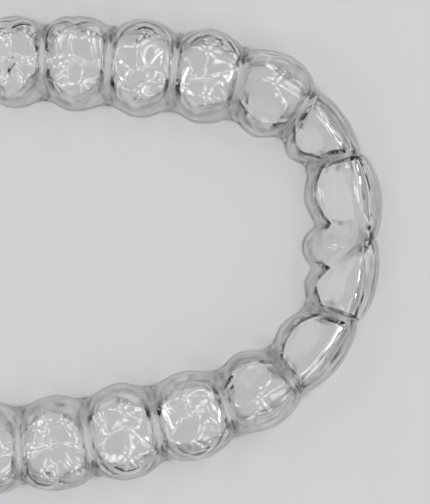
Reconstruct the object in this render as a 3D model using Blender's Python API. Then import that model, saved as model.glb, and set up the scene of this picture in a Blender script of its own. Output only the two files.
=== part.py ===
"""Clear dental aligner: one thermoformed shell with fourteen tooth cups, open side down.

Units are metres, +Z is up. The front teeth face -Y, the right arm lies at +X and the left arm at -X.
"""

import math
from collections import namedtuple

import bmesh
import bpy
import numpy as np

MM = 0.001

# Sheet and trim line
SHEET = 0.62 * MM
RIM_LIFT = 0.45 * MM
RIM_LAND = 0.45

# Walls of a cup, from the trim line up to the biting surface
RIM_TUCK = 0.4 * MM
BELLY_SWELL = 0.5 * MM
BELLY_SHARE = 0.42
SHOULDER_SHARE = 0.8
WEB_NOTCH_OUT = 0.25 * MM
WEB_NOTCH_IN = 0.5 * MM
BELLY_TUCK = 0.4 * MM
GROOVE_WIDTH = 0.24 * MM
CORNER_SOFTNESS = 0.15 * MM

# Cusps and fissures
CUSP_SLOPE = 0.95
CUSP_ROUND = 0.9 * MM
FISSURE_SOFTNESS = 0.1 * MM
RIDGE_SETBACK = 1.15 * MM
RIDGE_HALF_SPAN = 1.5 * MM
CUSP_LOBES = 3
CUSP_LOBE_SHARE = 0.1
WANDER = 0.3 * MM
WANDER_LENGTH = 4.5 * MM

# Front teeth
EDGE_ROUND = 1.5 * MM
PALATE_SLOPE = 1.75
CANINE_PALATE_SHARE = 0.8
CINGULUM_HEIGHT = 4.8 * MM
CINGULUM_SOFTNESS = 0.6 * MM
CINGULUM_CROWN = 1.3
SIDE_RIDGE_HEIGHT = 0.55 * MM
SIDE_RIDGE_SETBACK = 1.3 * MM
SIDE_RIDGE_WIDTH = 0.75 * MM
CANINE_FALL = 0.55
CANINE_ROUND = 1.0 * MM

# Bulge over the gum between the two central incisors
PAPILLA_REACH = 4.2 * MM
PAPILLA_OFFSET = 1.0 * MM
PAPILLA_HALF_WIDTH = 2.45 * MM
PAPILLA_ROUNDING = 0.9 * MM
PAPILLA_CLOSING = 0.9 * MM
PAPILLA_TOP_INSET = 1.1 * MM
PAPILLA_MIDDLE = 2.1 * MM
PAPILLA_BULGE = 2.0 * MM
PAPILLA_TAPER = 0.34 / MM
PAPILLA_LEAST = 0.15
PAPILLA_SOFTNESS = 0.3 * MM
MIDLINE_DROPS = (1.0 * MM, 4.3 * MM, 6.1 * MM)

# Valley between the two central incisors, wider towards the tongue: half width and its growth per arm
VALLEY_RIGHT = (0.5 * MM, 0.35)
VALLEY_LEFT = (0.7 * MM, 0.75)
VALLEY_DEPTH = 2.6 * MM
VALLEY_WIDTH = 0.85 * MM

# Closed end behind each last molar
END_REACH = 0.35 * MM
END_INSET = 1.7 * MM

# Mesh density
STEPS_ALONG = 12
STEPS_WALL = 5
STEPS_TABLE = 8
STEPS_END = 10
CREASE_CROWDING = 0.6
EDGE_CROWDING = 0.45
SHARP_ANGLE = 75

Form = namedtuple("Form", "inset_out inset_in notch_out notch_in gap_out gap_in roundness drops")
FORMS = {
    "incisor": Form(
        inset_out=2.6 * MM,
        inset_in=0.95 * MM,
        notch_out=0.8 * MM,
        notch_in=2.4 * MM,
        gap_out=1.3 * MM,
        gap_in=0.8 * MM,
        roundness=1.85,
        drops=(1.0 * MM, 1.8 * MM, 4.9 * MM),
    ),
    "canine": Form(
        inset_out=3.9 * MM,
        inset_in=1.5 * MM,
        notch_out=2.1 * MM,
        notch_in=2.3 * MM,
        gap_out=1.5 * MM,
        gap_in=0.8 * MM,
        roundness=1.9,
        drops=(3.2 * MM, 4.0 * MM, 6.0 * MM),
    ),
    "premolar": Form(
        inset_out=2.5 * MM,
        inset_in=2.4 * MM,
        notch_out=2.1 * MM,
        notch_in=2.9 * MM,
        gap_out=1.1 * MM,
        gap_in=0.9 * MM,
        roundness=2.0,
        drops=(3.4 * MM, 2.7 * MM, 3.6 * MM),
    ),
    "molar": Form(
        inset_out=2.3 * MM,
        inset_in=2.3 * MM,
        notch_out=2.1 * MM,
        notch_in=2.9 * MM,
        gap_out=1.1 * MM,
        gap_in=0.9 * MM,
        roundness=2.1,
        drops=(3.1 * MM, 2.4 * MM, 3.3 * MM),
    ),
}

# Cusps of the back teeth: place towards the arm's end, place towards the cheek, drop below the highest
CUSPS = {
    "premolar": (
        (0.1 * MM, 2.5 * MM, 0.0 * MM),
        (-0.4 * MM, -2.3 * MM, 0.6 * MM),
    ),
    "molar": (
        (-1.7 * MM, 2.6 * MM, 0.0 * MM),
        (1.6 * MM, 2.5 * MM, 0.3 * MM),
        (-1.4 * MM, -2.5 * MM, 0.1 * MM),
        (1.8 * MM, -2.4 * MM, 0.6 * MM),
    ),
}
RIDGE_DROP = {"premolar": 1.5 * MM, "molar": 1.3 * MM}

Cup = namedtuple("Cup", "form width turn outer inner height phase")


def cup(form, width, turn, outer, inner, height):
    """One tooth cup. Lengths are in millimetres here, and the turn of the row in degrees."""
    phase = turn + 5 * height
    return Cup(form, width * MM, math.radians(turn), outer * MM, inner * MM, height * MM, phase)


# Each arm from the midline back: length along the row, turn, reach to cheek, reach to tongue, height
RIGHT_ARM = (
    cup("incisor", 8.4, 13.0, 4.2, 3.7, 9.5),
    cup("incisor", 6.5, 41.0, 2.8, 4.2, 9.1),
    cup("canine", 7.3, 25.0, 4.4, 4.75, 9.5),
    cup("premolar", 6.9, 4.0, 5.0, 4.8, 8.1),
    cup("premolar", 6.9, 2.0, 5.2, 5.0, 7.8),
    cup("molar", 6.9, 3.0, 5.0, 4.9, 7.4),
    cup("molar", 6.6, 2.0, 4.8, 4.8, 7.0),
)
LEFT_ARM = (
    cup("incisor", 8.1, 19.0, 3.9, 3.6, 9.5),
    cup("incisor", 8.0, 35.0, 3.3, 3.9, 9.1),
    cup("canine", 7.2, 18.0, 4.2, 4.45, 9.5),
    cup("premolar", 7.6, 5.0, 4.8, 4.6, 8.1),
    cup("premolar", 7.3, 3.0, 5.2, 5.0, 7.8),
    cup("molar", 7.3, 5.0, 5.1, 4.9, 7.4),
    cup("molar", 6.9, 3.0, 5.0, 4.9, 7.0),
)


def soft_max(a, b, softness):
    """The greater of two heights, with the corner between them rounded."""
    return softness * np.logaddexp(a / softness, b / softness)


def round_distance(distance, radius):
    """Grows like distance, but starts flat, as a rounded tip does."""
    return np.sqrt(distance**2 + radius**2) - radius


def wandered(tooth, along, across):
    """Places over a back tooth moved a little, so that its fissures wander in their own way."""
    swing = 2 * math.pi / WANDER_LENGTH
    moved_along = along + WANDER * np.sin(swing * across + tooth.phase)
    return moved_along, across + WANDER * np.sin(swing * along + 2 * tooth.phase)


def cusp_cones(tooth, along, across):
    """Chewing surface of a back tooth: rounded cones that meet in fissures, and two marginal ridges."""
    height = np.full(np.broadcast(along, across).shape, -1.0)
    along, across = wandered(tooth, along, across)
    for cusp_along, cusp_across, drop in CUSPS[tooth.form]:
        far = np.hypot(along - cusp_along, across - cusp_across)
        around = np.arctan2(across - cusp_across, along - cusp_along)
        far = far * (1 + CUSP_LOBE_SHARE * np.sin(CUSP_LOBES * around + tooth.phase))
        cone = tooth.height - drop - CUSP_SLOPE * round_distance(far, CUSP_ROUND)
        height = soft_max(height, cone, FISSURE_SOFTNESS)
    for side in (-1, 1):
        beyond = np.maximum(np.abs(across) - RIDGE_HALF_SPAN, 0.0)
        far = np.hypot(along - side * (tooth.width / 2 - RIDGE_SETBACK), beyond)
        ridge = tooth.height - RIDGE_DROP[tooth.form] - CUSP_SLOPE * round_distance(far, CUSP_ROUND)
        height = soft_max(height, ridge, FISSURE_SOFTNESS)
    return height


def front_slope(tooth, along, across):
    """Biting edge of a front tooth, falling in a hollow to the cingulum on the tongue side."""
    form = FORMS[tooth.form]
    behind = np.maximum(tooth.outer - form.inset_out - across, 0.0)
    fall = PALATE_SLOPE * round_distance(behind, EDGE_ROUND)
    if tooth.form == "canine":
        fall = fall * CANINE_PALATE_SHARE + CANINE_FALL * round_distance(along, CANINE_ROUND)
    beside = np.abs(along) - (tooth.width / 2 - SIDE_RIDGE_SETBACK)
    side_ridge = SIDE_RIDGE_HEIGHT * np.exp(-((beside / SIDE_RIDGE_WIDTH) ** 2))
    side_ridge = side_ridge * np.clip(behind / EDGE_ROUND - 0.5, 0.0, 1.0)
    crown = 1.0 - CINGULUM_CROWN * (along / tooth.width) ** 2
    slope = tooth.height - fall + side_ridge
    return soft_max(slope, CINGULUM_HEIGHT * crown, CINGULUM_SOFTNESS)


def biting_height(tooth, along, across):
    """Height of the outer surface over the tooth, away from its neighbours."""
    if tooth.form in CUSPS:
        return cusp_cones(tooth, along, across)
    return front_slope(tooth, along, across)


def middle_reaches(tooth):
    """Reaches at the middle of a cup: rim, belly, shoulder and edge, cheek side and then tongue side."""
    form = FORMS[tooth.form]
    reaches = []
    for reach, inset in ((tooth.outer, form.inset_out), (tooth.inner, form.inset_in)):
        shoulder = reach - inset * (1 - SHOULDER_SHARE)
        reaches += [reach - RIM_TUCK, reach + BELLY_SWELL, shoulder, reach - inset]
    return np.array(reaches)


def crease_reaches(tooth):
    """The same eight reaches where the cup meets its neighbour."""
    form = FORMS[tooth.form]
    sides = (
        (tooth.outer, form.notch_out, form.gap_out, WEB_NOTCH_OUT),
        (tooth.inner, form.notch_in, form.gap_in, WEB_NOTCH_IN),
    )
    reaches = []
    for reach, notch, gap, web in sides:
        rim = reach - RIM_TUCK - web
        reaches += [rim, reach - notch - BELLY_TUCK, reach - notch, reach - notch - gap]
    return np.array(reaches)


def crease_heights(tooth):
    """Heights of the groove beside the cup: at the cheek side, in the middle and at the tongue side."""
    return tooth.height - np.array(FORMS[tooth.form].drops)


def bulb_share(gap, tooth):
    """0 where two cups meet and 1 at the middle of a cup, round like the plan of a crown."""
    half = tooth.width / 2
    soft_gap = round_distance(gap, CORNER_SOFTNESS) / round_distance(half, CORNER_SOFTNESS)
    power = FORMS[tooth.form].roundness
    return (1 - (1 - soft_gap) ** power) ** (1 / power)


def groove_share(gap, width, groove):
    """0 at the bottom of the groove between two cups and 1 at the middle of a cup."""
    full = (width / 2) ** 2 / ((width / 2) ** 2 + groove**2)
    return gap**2 / (gap**2 + groove**2) / full


def valley_gap(gap, from_midline, inward):
    """Distance from the valley's side, where the valley is wider than the groove would be."""
    right, left = (start + growth * inward for start, growth in (VALLEY_RIGHT, VALLEY_LEFT))
    half = np.maximum(np.where(from_midline < 0, right, left), 0.0)
    return np.minimum(gap, np.maximum(np.abs(from_midline) - half, 0.0))


def rim_height(place):
    """The trim line is flat under a cup and rises a little between two cups."""
    step = np.clip((np.abs(place) - RIM_LAND) / (1 - RIM_LAND), 0.0, 1.0)
    return RIM_LIFT * step**2 * (3 - 2 * step)


def bezier(points, share):
    """Cubic curve through four control values."""
    a, b, c, d = points
    rest = 1 - share
    return a * rest**3 + 3 * b * rest**2 * share + 3 * c * rest * share**2 + d * share**3


def wall(rim, belly, shoulder, edge, foot, top, share):
    """Places across and heights of a wall that leaves the rim at foot and ends level at top."""
    middle = foot + BELLY_SHARE * (top - foot)
    return bezier((rim, belly, shoulder, edge), share), bezier((foot, middle, top, top), share)


def papilla_reaches(reaches, from_midline):
    """Reaches on the tongue side, widened by the bulge over the gum between the central incisors."""
    off = (from_midline - PAPILLA_OFFSET) / PAPILLA_HALF_WIDTH
    reach = PAPILLA_REACH - PAPILLA_ROUNDING * off**2 - PAPILLA_CLOSING * off**6
    insets = (0.0, -BELLY_SWELL, PAPILLA_TOP_INSET * (1 - SHOULDER_SHARE), PAPILLA_TOP_INSET)
    for column, inset in enumerate(insets, start=4):
        reaches[:, column] = soft_max(reaches[:, column], reach - inset, CORNER_SOFTNESS)
    return reaches


def valley_top(top, low, across, gap, from_midline, width):
    """Surface sunk into the valley between the two central incisors."""
    wide_gap = valley_gap(gap, from_midline, -across)
    return low + (top - low) * groove_share(wide_gap, width, VALLEY_WIDTH)


def papilla_top(top, low, across, from_midline):
    """Surface raised by the bulge over the gum, which narrows towards the biting edges."""
    forward = np.maximum(across + PAPILLA_MIDDLE, 0.0)
    narrowing = np.maximum(1 - PAPILLA_TAPER * forward, PAPILLA_LEAST)
    off = from_midline[:, None] - PAPILLA_OFFSET * narrowing
    bulge = PAPILLA_BULGE * narrowing * (1 - (off / (PAPILLA_HALF_WIDTH * narrowing)) ** 2)
    return soft_max(top, low + bulge, PAPILLA_SOFTNESS)


def crease_line(heights, table):
    """Height of a groove across the row, a parabola through its three heights."""
    side, middle, tongue = (heights[:, k : k + 1] for k in range(3))
    rest = 1 - table
    return side * rest * (rest - table) + middle * 4 * table * rest + tongue * table * (table - rest)


def cup_sections(tooth, places, before, after, arm, from_midline):
    """Outer sections of one cup. before and after are the crease values on its two sides."""
    is_after = (places > 0)[:, None]
    crease = np.where(is_after, after[0], before[0])
    gap = (1 - np.abs(places)) * tooth.width / 2
    share = np.repeat(bulb_share(gap, tooth)[:, None], 8, axis=1)
    if from_midline is not None:
        inner_gap = valley_gap(gap, from_midline, VALLEY_DEPTH)
        share[:, 5:] = bulb_share(inner_gap, tooth)[:, None]
    share[:, (0, 4)] = (np.cos(np.pi / 2 * places) ** 2)[:, None]
    reaches = crease + (middle_reaches(tooth) - crease) * share
    if from_midline is not None:
        reaches = papilla_reaches(reaches, from_midline)
    table = table_shares()[None, :]
    across = reaches[:, 3:4] - (reaches[:, 3:4] + reaches[:, 7:8]) * table
    low = crease_line(np.where(is_after, after[1], before[1]), table)
    high = biting_height(tooth, (places * tooth.width / 2 * arm)[:, None], across)
    top = low + (high - low) * groove_share(gap[:, None], tooth.width, GROOVE_WIDTH)
    if from_midline is not None:
        top = valley_top(top, low, across, gap[:, None], from_midline[:, None], tooth.width)
        top = papilla_top(top, low, across, from_midline)
    foot = rim_height(places)[:, None]
    climb = np.linspace(0, 1, STEPS_WALL + 1)[None, :]
    out_x, out_z = wall(*(reaches[:, k : k + 1] for k in range(4)), foot, top[:, :1], climb)
    in_x, in_z = wall(*(reaches[:, k : k + 1] for k in range(4, 8)), foot, top[:, -1:], climb)
    x = np.hstack([out_x[:, :-1], across, -in_x[:, -2::-1]])
    z = np.hstack([out_z[:, :-1], top, in_z[:, -2::-1]])
    return x, z


def table_shares():
    """Shares of the way over the biting surface, closer together near its two edges."""
    even = np.linspace(0, 1, STEPS_TABLE + 1)
    return EDGE_CROWDING * (1 - np.cos(np.pi * even)) / 2 + (1 - EDGE_CROWDING) * even


def cup_places():
    """Places of the sections along a cup, from -1 to 1, closer together near the creases."""
    even = np.linspace(-1, 1, STEPS_ALONG + 1)
    return CREASE_CROWDING * np.sin(np.pi / 2 * even) + (1 - CREASE_CROWDING) * even


def arm_starts(cups, arm):
    """Start point and heading of each cup of an arm, walking back from the midline."""
    x, y, heading = 0.0, 0.0, 0.0
    starts = []
    for tooth in cups:
        starts.append((x, y, heading))
        x, y = arc_point(tooth, (x, y, heading), 1.0, 1)[0]
        heading += tooth.turn
    return [(arm * sx, sy, sh) for sx, sy, sh in starts]


def arc_point(tooth, start, share, arm):
    """A point of the row at a share of a cup's arc, and the direction out to the cheek there."""
    x, y, heading = start
    angle = heading + tooth.turn * share
    radius = tooth.width / tooth.turn
    px = x + arm * radius * (np.sin(angle) - np.sin(heading))
    py = y - radius * (np.cos(angle) - np.cos(heading))
    return (px, py), (arm * np.sin(angle), -np.cos(angle))


def row_of_cups():
    """All cups from the end of the right arm round to the end of the left arm."""
    right = list(zip(RIGHT_ARM, arm_starts(RIGHT_ARM, 1), [1] * len(RIGHT_ARM)))
    left = list(zip(LEFT_ARM, arm_starts(LEFT_ARM, -1), [-1] * len(LEFT_ARM)))
    return right[::-1] + left


def contact(first, second):
    """Crease values shared by two neighbours."""
    reaches = (crease_reaches(first) + crease_reaches(second)) / 2
    if first is RIGHT_ARM[0] and second is LEFT_ARM[0]:
        return reaches, first.height - np.array(MIDLINE_DROPS)
    return reaches, (crease_heights(first) + crease_heights(second)) / 2


def place_section(tooth, start, arm, places, x, z):
    """Section points of one cup as points in space."""
    share = (1 - places * arm) / 2
    (px, py), (nx, ny) = arc_point(tooth, start, share, arm)
    return np.stack([px[:, None] + nx[:, None] * x, py[:, None] + ny[:, None] * x, z], axis=2)


def end_fan(tooth, start, arm, x, z):
    """Rounded end behind a last molar, as half turns from its cheek side to its tongue side."""
    middle = STEPS_WALL + STEPS_TABLE // 2
    half = tooth.width / 2
    power = FORMS[tooth.form].roundness
    climb = np.linspace(0, 1, STEPS_WALL + 1)
    back, _ = wall(
        half + END_REACH - RIM_TUCK,
        half + END_REACH + BELLY_SWELL,
        half + END_REACH - END_INSET * (1 - SHOULDER_SHARE),
        half + END_REACH - END_INSET,
        0.0,
        1.0,
        climb,
    )
    level = 1 - 2 * table_shares()[: STEPS_TABLE // 2 + 1]
    back = np.concatenate([back[:-1], back[-1] * level])
    (px, py), (nx, ny) = arc_point(tooth, start, 0.5, arm)
    rows = []
    for angle in np.linspace(0, math.pi, STEPS_END + 1)[1:-1]:
        cos = abs(math.cos(angle)) ** (2 / power)
        sin = math.sin(angle) ** (2 / power)
        side = x[: middle + 1] if angle <= math.pi / 2 else x[: middle - 1 : -1]
        across = x[middle] + (side - x[middle]) * cos
        along = back * sin
        top = biting_height(tooth, along, across)
        rise = wall(0, 0, 0, 0, 0.0, top[STEPS_WALL], climb)[1]
        height = np.concatenate([rise[:-1], top[STEPS_WALL:]])
        tx, ty = -ny, nx
        rows.append(
            np.stack(
                [px + nx * across + arm * tx * along, py + ny * across + arm * ty * along, height],
                axis=1,
            )[:-1]
        )
    return rows


def outer_grid():
    """Points of the outer surface: sections round the row, and the fans that close its two ends."""
    row = row_of_cups()
    full = cup_places()
    sections, fans = [], []
    last = len(row) - 1
    for k, (tooth, start, arm) in enumerate(row):
        before = contact(row[k - 1][0], tooth) if k else contact(tooth, tooth)
        after = contact(tooth, row[k + 1][0]) if k < last else contact(tooth, tooth)
        places = full[1:]
        if k == 0:
            places = full[full >= 0]
        if k == last:
            places = full[1:][full[1:] <= 0]
        midline = None
        if k == last // 2:
            midline = (places - 1) * tooth.width / 2
        if k == last // 2 + 1:
            midline = (places + 1) * tooth.width / 2
        x, z = cup_sections(tooth, places, before, after, -arm, midline)
        sections.append(place_section(tooth, start, arm, places, x, z))
        if k in (0, last):
            here = 0 if k == 0 else -1
            fans.append(end_fan(tooth, start, arm, x[here], z[here]))
    return np.concatenate(sections), fans


def outer_sheet():
    """Vertices and faces of the outer surface, open along the trim line."""
    grid, fans = outer_grid()
    count, wide = grid.shape[:2]
    points = list(grid.reshape(-1, 3))
    faces = []
    for i in range(count - 1):
        for j in range(wide - 1):
            here = i * wide + j
            faces.append((here, here + wide, here + wide + 1, here + 1))
    rim = [i * wide for i in range(count)]
    back_rim = [i * wide + wide - 1 for i in range(count)]
    middle = wide // 2
    ends = []
    for station, fan in ((0, fans[0]), (count - 1, fans[1])):
        base = station * wide
        lines = [[base + j for j in range(middle)]]
        for turn in fan:
            lines.append([len(points) + j for j in range(middle)])
            points.extend(turn)
        lines.append([base + wide - 1 - j for j in range(middle)])
        for one, two in zip(lines, lines[1:]):
            for j in range(middle - 1):
                faces.append(turned((one[j], one[j + 1], two[j + 1], two[j]), station > 0))
            faces.append(turned((one[-1], base + middle, two[-1]), station > 0))
        ends.append([line[0] for line in lines[1:-1]])
    loop = rim + ends[1] + back_rim[::-1] + ends[0][::-1]
    return np.array(points), faces, loop


def turned(face, flip):
    """The face, wound the other way round if flip is set."""
    return face[::-1] if flip else face


def thicken(points, faces, loop):
    """Closed shell: the outer surface, the same surface a sheet's thickness inside it, and the rim."""
    sheet = bpy.data.meshes.new("outer_sheet")
    sheet.from_pydata(points.tolist(), [], faces)
    normals = np.array([vertex.normal[:] for vertex in sheet.vertices])
    bpy.data.meshes.remove(sheet)
    if normals[:, 2].sum() < 0:
        normals = -normals
    inside = points - SHEET * normals
    level = normals[loop].copy()
    level[:, 2] = 0.0
    level /= np.linalg.norm(level, axis=1)[:, None]
    inside[loop] = points[loop] - SHEET * level
    count = len(points)
    shell = list(faces)
    shell += [tuple(index + count for index in face[::-1]) for face in faces]
    for one, two in zip(loop, loop[1:] + loop[:1]):
        shell.append((two, one, one + count, two + count))
    return np.vstack([points, inside]), shell


def centred(points):
    """Points moved so that the origin is under the middle of the part, on the rim's plane."""
    low = points.min(axis=0)
    high = points.max(axis=0)
    return points - np.array([(low[0] + high[0]) / 2, (low[1] + high[1]) / 2, low[2]])


def clear_plastic():
    """Clear thermoforming sheet."""
    material = bpy.data.materials.new("clear_sheet")
    material.use_nodes = True
    shader = material.node_tree.nodes["Principled BSDF"]
    shader.inputs["Base Color"].default_value = (0.93, 0.95, 0.96, 1.0)
    shader.inputs["Roughness"].default_value = 0.08
    shader.inputs["Metallic"].default_value = 0.0
    shader.inputs["Transmission Weight"].default_value = 1.0
    shader.inputs["IOR"].default_value = 1.5
    return material


def aligner_shell():
    """The whole aligner as one object."""
    points, faces = thicken(*outer_sheet())
    mesh = bpy.data.meshes.new("aligner_shell")
    mesh.from_pydata(centred(points).tolist(), [], faces)
    solid = bmesh.new()
    solid.from_mesh(mesh)
    bmesh.ops.recalc_face_normals(solid, faces=solid.faces)
    solid.to_mesh(mesh)
    solid.free()
    mesh.shade_smooth()
    mesh.set_sharp_from_angle(angle=math.radians(SHARP_ANGLE))
    mesh.materials.append(clear_plastic())
    shell = bpy.data.objects.new("aligner_shell", mesh)
    bpy.context.collection.objects.link(shell)
    return shell


def main():
    for old in list(bpy.data.objects):
        bpy.data.objects.remove(old)
    aligner_shell()


main()
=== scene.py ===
"""Clear dental aligner, dressed: the formed sheet with its fine shape and finish, and a plain studio.

Units are metres, +Z is up. The front teeth face -Y, the right arm lies at +X and the left arm at -X.
"""

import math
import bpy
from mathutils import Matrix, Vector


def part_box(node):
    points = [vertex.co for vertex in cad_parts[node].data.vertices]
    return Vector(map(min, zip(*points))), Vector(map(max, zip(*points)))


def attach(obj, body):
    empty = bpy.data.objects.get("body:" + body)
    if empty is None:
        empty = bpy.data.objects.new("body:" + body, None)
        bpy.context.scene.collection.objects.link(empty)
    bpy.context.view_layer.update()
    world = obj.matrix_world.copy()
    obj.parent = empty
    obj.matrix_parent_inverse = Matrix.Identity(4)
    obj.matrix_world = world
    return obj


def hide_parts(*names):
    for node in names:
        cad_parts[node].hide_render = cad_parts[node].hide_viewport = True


bl_info = {
    "name": "Clear Dental Aligner",
    "version": (1, 0, 0),
    "blender": (4, 5, 0),
    "location": "View3D > Sidebar > Aligner",
    "description": "Builds a clear thermoformed dental aligner and a plain studio round it",
    "category": "Object",
}

from collections import namedtuple

import bmesh
import bpy
import numpy as np
from mathutils import Matrix, Vector

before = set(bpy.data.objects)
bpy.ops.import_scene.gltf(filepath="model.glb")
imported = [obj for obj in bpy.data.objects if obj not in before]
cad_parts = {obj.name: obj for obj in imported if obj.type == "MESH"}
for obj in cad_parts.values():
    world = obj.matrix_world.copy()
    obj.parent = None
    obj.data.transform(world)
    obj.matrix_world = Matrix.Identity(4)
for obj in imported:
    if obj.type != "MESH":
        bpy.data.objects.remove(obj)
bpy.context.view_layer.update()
SHELL_LOW, SHELL_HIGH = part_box("aligner_shell")

MM = 0.001

# Trim line: its rise between two cups, and the share of a half cup over which it is level
RIM_LIFT = 0.45 * MM
RIM_LAND = 0.45

# Walls of a cup, from the trim line up to the biting surface
RIM_TUCK = 0.4 * MM
BELLY_SWELL = 0.5 * MM
BELLY_SHARE = 0.42
SHOULDER_SHARE = 0.8
WEB_NOTCH_OUT = 0.25 * MM
WEB_NOTCH_IN = 0.5 * MM
BELLY_TUCK = 0.4 * MM
GROOVE_WIDTH = 0.16 * MM
CORNER_SOFTNESS = 0.15 * MM

# Cusps and fissures
CUSP_SLOPE = 0.95
CUSP_ROUND = 1.5 * MM
FISSURE_SOFTNESS = 0.1 * MM
RIDGE_SETBACK = 1.15 * MM
RIDGE_HALF_SPAN = 1.5 * MM
CUSP_LOBES = 3
CUSP_LOBE_SHARE = 0.05
WANDER = 0.3 * MM
WANDER_LENGTH = 4.5 * MM
PHASE_PER_HEIGHT = 5

# Front teeth
EDGE_ROUND = 1.5 * MM
PALATE_SLOPE = 1.75
CANINE_PALATE_SHARE = 0.8
CINGULUM_HEIGHT = 4.8 * MM
CINGULUM_SOFTNESS = 0.6 * MM
CINGULUM_CROWN = 1.3
SIDE_RIDGE_HEIGHT = 0.55 * MM
SIDE_RIDGE_SETBACK = 1.3 * MM
SIDE_RIDGE_WIDTH = 0.75 * MM
SIDE_RIDGE_START = 0.5
CANINE_FALL = 0.55
CANINE_ROUND = 1.0 * MM

# Bulge over the gum between the two central incisors
PAPILLA_REACH = 4.05 * MM
PAPILLA_OFFSET = 1.0 * MM
PAPILLA_HALF_WIDTH = 2.45 * MM
PAPILLA_ROUNDING = 0.9 * MM
PAPILLA_CLOSING = 0.9 * MM
PAPILLA_TOP_INSET = 1.6 * MM
PAPILLA_MIDDLE = 2.1 * MM
PAPILLA_BULGE = 2.0 * MM
PAPILLA_CREST = 1.2 * MM
PAPILLA_TAPER = 0.42 / MM
PAPILLA_LEAST = 0.15
PAPILLA_FLATTENING = 1.5
PAPILLA_SOFTNESS = 0.45 * MM
PAPILLA_SETTLE = 0.5 * MM
MIDLINE_DROPS = (1.0 * MM, 4.3 * MM, 6.1 * MM)

# Valley between the two central incisors, wider towards the tongue: half width and its growth per arm
VALLEY_RIGHT = (0.25 * MM, 0.28)
VALLEY_LEFT = (0.8 * MM, 0.7)
VALLEY_DEPTH = 2.6 * MM
VALLEY_WIDTH = 0.85 * MM

# Closed end behind each last molar
END_REACH = 0.35 * MM
END_INSET = 1.7 * MM

# Spacing of the mesh, and the angle from which an edge is sharp, in degrees
CREASE_CROWDING = 0.6
EDGE_CROWDING = 0.45
SHARP_ANGLE = 75

# Slow unevenness of a sheet that was drawn down hot, and its waves' lengths as shares of the typical one
WAVES = 9
WAVE_STRETCH = (0.6, 1.6)
OUTER_WAVE_SEED = 3
INNER_WAVE_SEED = 8

# Outward share of the normal where the ripples on the cheek side start, and how quickly they grow
RIPPLE_START = 0.25
RIPPLE_FADE = 0.3

# How far the ripples wander, in radians of a ripple, and over how many of them they do
RIPPLE_BEND = 0.6
RIPPLE_BEND_COUNT = 8

# Finish of the sheet: its roughness, its fine layer lines, its grain and its shallow dents
POLISHED = 0.02
HAZY = 0.22
LINE_PITCH = 0.2 * MM
LINE_DEPTH = 0.006 * MM
SHEET_GRAIN = 0.002 * MM
DENT_DEPTH = 0.02 * MM

# Finish of the trimmed edge
EDGE_POLISHED = 0.25
EDGE_HAZY = 0.5
EDGE_GRAIN = 0.02 * MM

# Noises of the finish: swings in each metre, and detail
DRIFT_NOISE = (90.0, 2.0)
PATCH_NOISE = (260.0, 2.0)
GRAIN_NOISE = (5200.0, 2.0)
DENT_NOISE = (900.0, 3.0)
HAZE_NOISE = (320.0, 4.0)

# Layer lines: drift up and down, and how a noise makes patches of them weak and strong
LINE_DRIFT = 0.25 * MM
PATCH_SPAN = (0.35, 0.65)
PATCH_STRENGTH = (0.25, 1.0)

# Upward share of the normal: the layer lines fade out from the first value to the second
WALL_SPAN = (0.3, 0.55)

# Haze and specks: where in their patterns they come in, and how much they weigh
HAZE_SPAN = (0.5, 0.75)
HAZE_SHARE = 0.5
SPECK_SCALE = 1900.0
SPECK_SPAN = (0.05, 0.2)
SPECK_SHARE = 0.3

# What is left of white light deep inside the plastic, and roughness of the polished skin over it
DEPTH_COLOUR = (0.05, 0.07, 0.08, 1.0)
SKIN_ROUGHNESS = 0.03

# Painted shade: dark colour mixed into the sheet where it is seen edge on, which draws dark outlines, and
# the stretch from flat on (0) to edge on (1) where it comes in
PAINTED_EDGE_SHADE = (0.02, 0.024, 0.026, 1.0)
PAINTED_EDGE_SHADE_SPAN = (0.74, 0.94)

# A like stretch for the light that goes through to the floor, and what is left of it at either end
GRAZING_SPAN = (0.58, 0.93)
LIGHT_LEFT = (0.99, 0.02)

# Insets of the biting edge, notches and gaps beside a neighbour, roundness of the plan, drops of a crease
Form = namedtuple("Form", "inset_out inset_in notch_out notch_in gap_out gap_in roundness drops")
FORMS = {
    "incisor": Form(
        inset_out=2.6 * MM,
        inset_in=0.95 * MM,
        notch_out=0.8 * MM,
        notch_in=2.4 * MM,
        gap_out=1.3 * MM,
        gap_in=0.8 * MM,
        roundness=1.85,
        drops=(1.0 * MM, 1.8 * MM, 4.9 * MM),
    ),
    "canine": Form(
        inset_out=3.9 * MM,
        inset_in=1.5 * MM,
        notch_out=2.1 * MM,
        notch_in=2.3 * MM,
        gap_out=1.5 * MM,
        gap_in=0.8 * MM,
        roundness=1.9,
        drops=(3.2 * MM, 4.0 * MM, 6.0 * MM),
    ),
    "premolar": Form(
        inset_out=2.5 * MM,
        inset_in=2.4 * MM,
        notch_out=2.1 * MM,
        notch_in=2.9 * MM,
        gap_out=1.1 * MM,
        gap_in=0.9 * MM,
        roundness=2.0,
        drops=(3.4 * MM, 2.7 * MM, 3.6 * MM),
    ),
    "molar": Form(
        inset_out=2.3 * MM,
        inset_in=2.3 * MM,
        notch_out=2.1 * MM,
        notch_in=2.9 * MM,
        gap_out=1.1 * MM,
        gap_in=0.9 * MM,
        roundness=2.1,
        drops=(3.1 * MM, 2.4 * MM, 3.3 * MM),
    ),
}

# Cusps of the back teeth: place towards the arm's end, place towards the cheek, drop below the highest
CUSPS = {
    "premolar": (
        (0.1 * MM, 2.5 * MM, 0.0 * MM),
        (-0.4 * MM, -2.3 * MM, 0.6 * MM),
    ),
    "molar": (
        (-1.7 * MM, 2.6 * MM, 0.0 * MM),
        (1.6 * MM, 2.5 * MM, 0.3 * MM),
        (-1.4 * MM, -2.5 * MM, 0.1 * MM),
        (1.8 * MM, -2.4 * MM, 0.6 * MM),
    ),
}

# Drop of the two marginal ridges below the highest cusp
RIDGE_DROP = {"premolar": 1.5 * MM, "molar": 1.3 * MM}

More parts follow.
